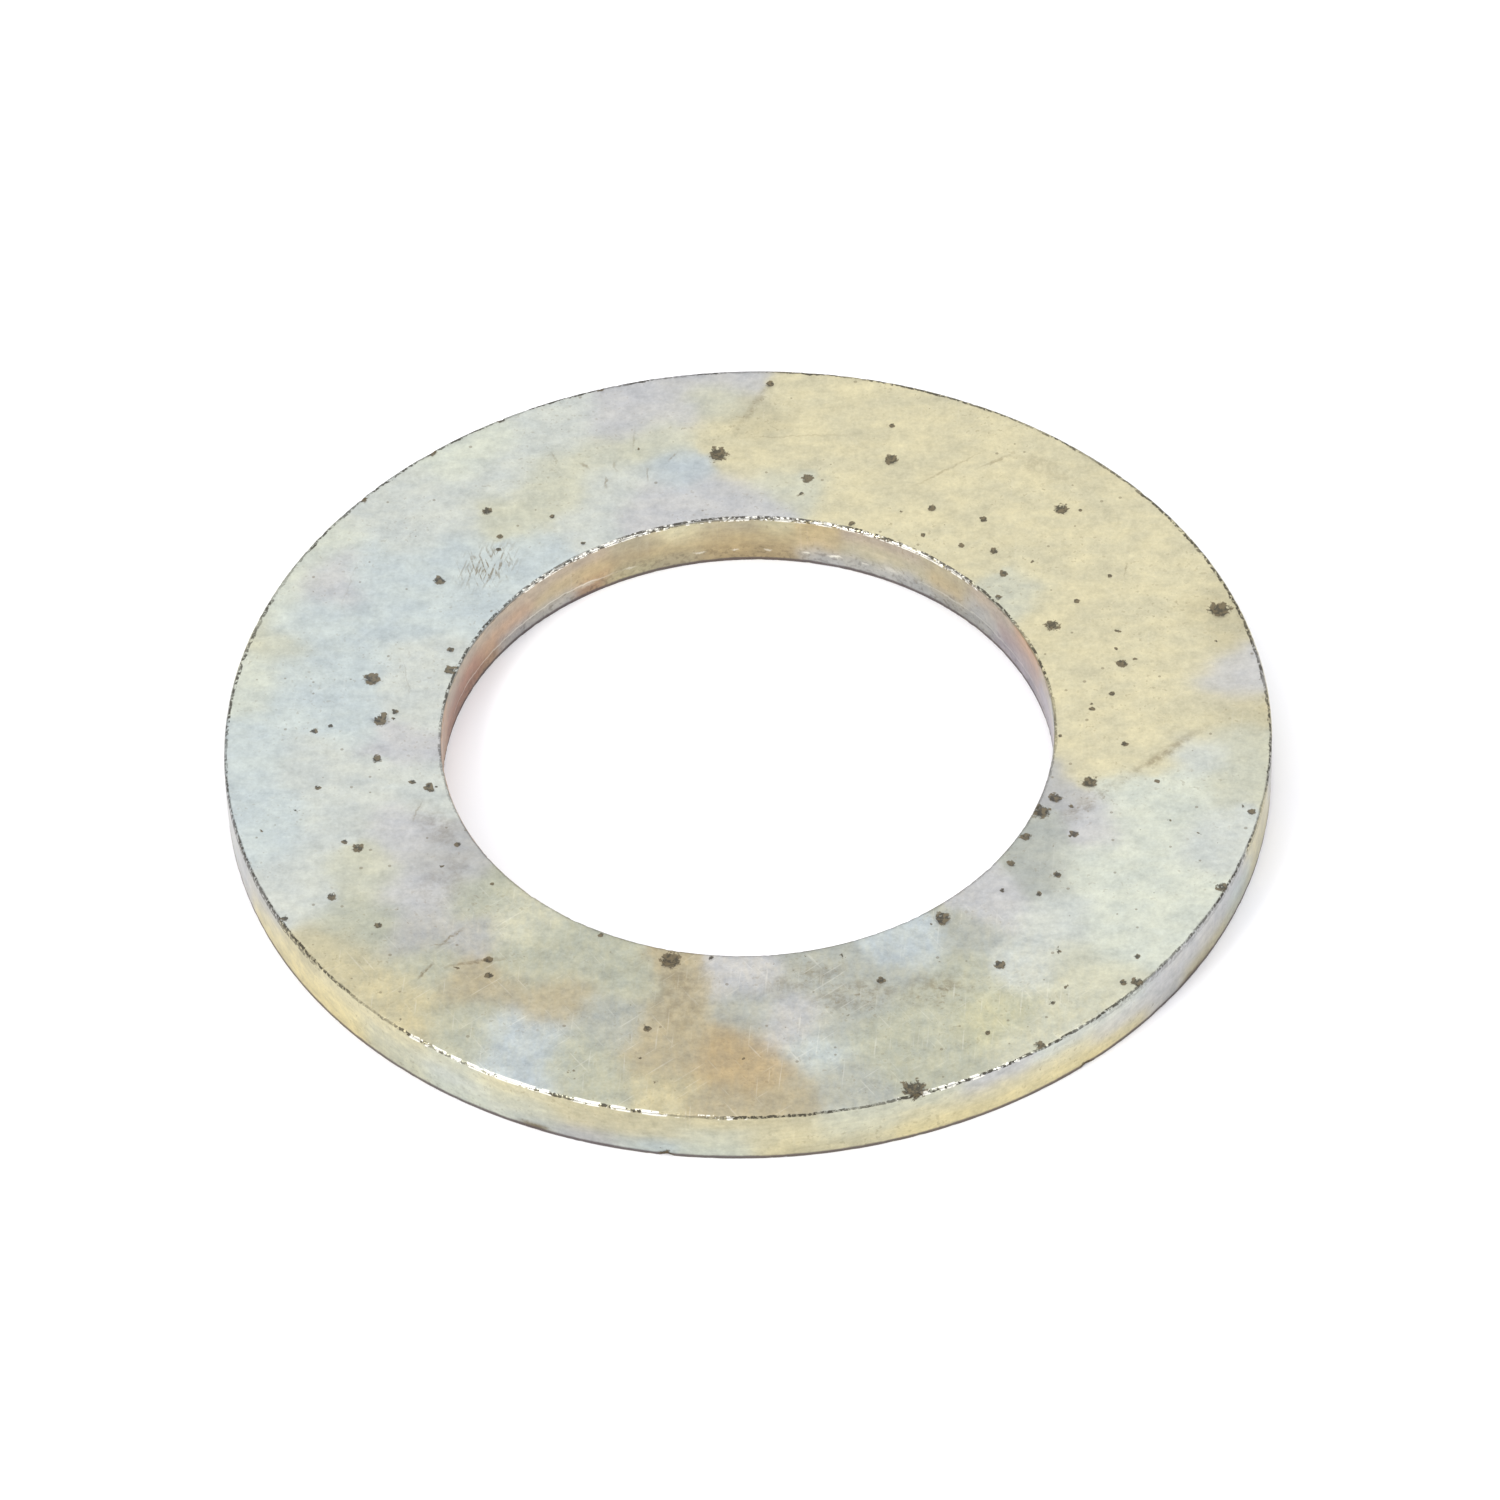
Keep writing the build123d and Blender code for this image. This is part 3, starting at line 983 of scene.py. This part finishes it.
# %% Light and dark in the film
FILM_LEVEL = 0.78    # how much of the tint's light the film sends back
handled = arc(225, 305, 15) * (1 - wall)
in_bore = radius.ramp(land_middle, bore_radius)
fine = 0.60 * (mottle - 0.5) + 0.44 * (bloom - 0.5) + 0.18 * (chips - 0.5) + 0.14 * (streaks - 0.5)
fine = fine * (1 + 0.25 * handled) + 0.35 * wall * (burnish - 0.5)
fine = fine - (0.06 + 0.16 * in_bore) * torn * chips.ramp(0.50, 0.62)

above_tear = z - tear_height * (0.75 + 0.8 * (cloud - 0.5)) + wobble * 0.5
tear_shows = (arc(122, 158, 10) + arc(15, 48, 10) * 0.6) * in_bore * wall
# A pale line along the ridge, partly burnish and partly a painted highlight
pale_ridge_and_glint = above_tear.does("ABSOLUTE").ramp(0.05 * MM, 0.01 * MM) * tear_shows
fine = fine - 0.10 * tear_shows * above_tear.ramp(0, -0.04 * MM)
brightness = 0.95 + fine + 0.12 * (cloud - 0.5) + 0.14 * (grain - 0.5)

# %% [markdown]
# The colours go over each other in the order that the real layers lie: the film and its haze,
# dirt rubbed into it, metal where it is scraped off together with painted glints, and last the
# dark edges, which are partly painted shade, a painted shadow along the foot, specks and pits.
# Dirt is dull and no metal, so the same masks make the finish rougher and less metallic, and the
# painted shade and shadow are made so too.

# %% The colours, one over the other
# Dark dirt for the pits, also the painted shade of the dark edge line
DIRT_AND_EDGE_SHADE = film(48, 42, 30)
RUST = film(96, 84, 60)
BROWN = film(116, 102, 76)
# Bare metal for the scratches, also the colour of the painted glints
BARE_AND_GLINT = film(240, 238, 226)
# The colour of the painted contact shadow along the foot
SHADOW_MAUVE = film(96, 86, 86)
BLUISH, YELLOWISH = (0.985, 1.0, 1.03), (1.01, 1.0, 0.97)
CLEAR, WARM = (1.0, 1.0, 1.0), (1.03, 1.0, 0.94)

colour = tint * (FILM_LEVEL * brightness)
colour = colour * bloom.ramp(0.3, 0.7).mix(BLUISH, YELLOWISH)
colour = colour * streaks.ramp(0.35, 0.65).mix(CLEAR, handled.mix(CLEAR, WARM))
rubbed_in = scratched + smudged * 0.8 + dust * 0.3
colour = rubbed_in.does("MINIMUM", 1).mix(colour, BROWN)
pale_hairs = hairs * (0.05 + 0.13 * handled) * cloud.ramp(0.35, 0.60)
# Bare metal where it is scraped off, with painted glints on the edges, the bore's wall and the ridge
scraped_off_and_glints = glinting + bare_and_glint_line * 0.9 + pale_hairs + pale_ridge_and_glint * 0.4
colour = scraped_off_and_glints.does("MINIMUM", 1).mix(colour, BARE_AND_GLINT)
# The dark edge line, partly painted shade, and a painted contact shadow along the foot
colour = (dark_line * 0.9).mix(colour, DIRT_AND_EDGE_SHADE)
colour = (foot_shadow * 0.9).mix(colour, SHADOW_MAUVE)
colour = (specks_mask * 0.5).mix(colour, RUST)
colour = (ragged_pit * 0.9).mix(colour, chips.ramp(0.42, 0.6).mix(DIRT_AND_EDGE_SHADE, RUST))

# %% The shader
# The painted shade and shadow are made dull and no metal too
dull = (ragged_pit + specks_mask + dark_line * 0.7 + foot_shadow * 0.6).does("MINIMUM", 1)
roughness = 0.36 + 0.12 * (mottle - 0.5) + 0.06 * torn + 0.4 * dull - 0.08 * bare_and_glint_line
height = grain * 0.25 + mottle * 0.5
bumps = metal.node(
    "ShaderNodeBump", {}, {"Strength": 0.25, "Distance": 0.02 * MM, "Height": height})
finish = metal.node("ShaderNodeBsdfPrincipled", {}, {
    "Base Color": colour, "Metallic": 1 - 0.8 * dull, "Roughness": roughness, "Normal": bumps})
metal.node("ShaderNodeOutputMaterial", {}, {"Surface": finish})
print(f"yellow_zinc: {len(yellow_zinc.node_tree.nodes)} nodes")

# %% [markdown]
# ## The stage
#
# A bright floor under a wide softbox keeps a satin metal part light, and two small lamps in front
# of it give the glints along its rolled edges. The floor is lit a little past white, so only the
# shade right against the washer shows.

# %% The floor
floor_mesh = bpy.data.meshes.new("floor")
reach = 0.6
floor_corners = [(-reach, -reach, 0), (reach, -reach, 0), (reach, reach, 0), (-reach, reach, 0)]
floor_mesh.from_pydata(floor_corners, [], [(0, 1, 2, 3)])
floor = bpy.data.objects.new("floor", floor_mesh)
bpy.context.scene.collection.objects.link(floor)
paper = bpy.data.materials.new("paper")
paper.use_nodes = True
paper_shader = paper.node_tree.nodes["Principled BSDF"]
paper_shader.inputs["Base Color"].default_value = (0.94, 0.94, 0.95, 1)
paper_shader.inputs["Roughness"].default_value = 0.9
paper_shader.inputs["Emission Color"].default_value = (1, 1, 1, 1)
paper_shader.inputs["Emission Strength"].default_value = 0.03
floor_mesh.materials.append(paper)


# %% The lights
def lamp(name, size, place, target, radiance, colour):
    """A square lamp that looks as bright as radiance from anywhere in front of it."""
    data = bpy.data.lights.new(name, "AREA")
    data.size = size
    data.energy = radiance * math.pi * size * size
    data.color = colour
    light = bpy.data.objects.new(name, data)
    light.location = place
    light.rotation_euler = (Vector(target) - Vector(place)).to_track_quat("-Z", "Y").to_euler()
    bpy.context.scene.collection.objects.link(light)


lamp("softbox", 1.2, (0, 0.2, 0.5), (0, 0.2, 0), 0.95, (1, 1, 1))
lamp("left glint lamp", 0.14, (-0.285, -0.26, 0.32), (0, 0, 0), 20, (1, 0.98, 0.95))
lamp("right glint lamp", 0.10, (0.33, -0.22, 0.305), (0, 0, 0), 10, (1, 1, 1))
world = bpy.data.worlds.new("studio")
world.use_nodes = True
world.node_tree.nodes["Background"].inputs["Color"].default_value = (0.52, 0.52, 0.56, 1)
bpy.context.scene.world = world
bpy.context.scene.view_settings.view_transform = "Standard"
print(f"{len(bpy.data.lights)} lamps")

# %% [markdown]
# A long lens from far away keeps the near and far sides of the ring almost the same size, as in
# a catalogue. The camera looks down at it by about half a right angle.

# %% Camera
looking_down = math.radians(45.5)
tilt = math.radians(-1.9)
distance = 0.405
aim = Vector((0.06, 0.57, 0.56)) * MM
back = Vector((0, -math.cos(looking_down), math.sin(looking_down)))
level = Vector((1, 0, 0))
upright = back.cross(level)
right = math.cos(tilt) * level + math.sin(tilt) * upright
up = back.cross(right)
camera = bpy.data.objects.new("camera", bpy.data.cameras.new("camera"))
turned = Matrix((right, up, back)).transposed().to_4x4()
camera.matrix_world = Matrix.Translation(aim + distance * back) @ turned
camera.data.lens = 304.7
camera.data.sensor_width = 36
camera.data.clip_start = 0.01
bpy.context.scene.collection.objects.link(camera)
bpy.context.scene.camera = camera
print(f"camera {distance / MM:.0f} mm away, with a {camera.data.lens} mm lens")
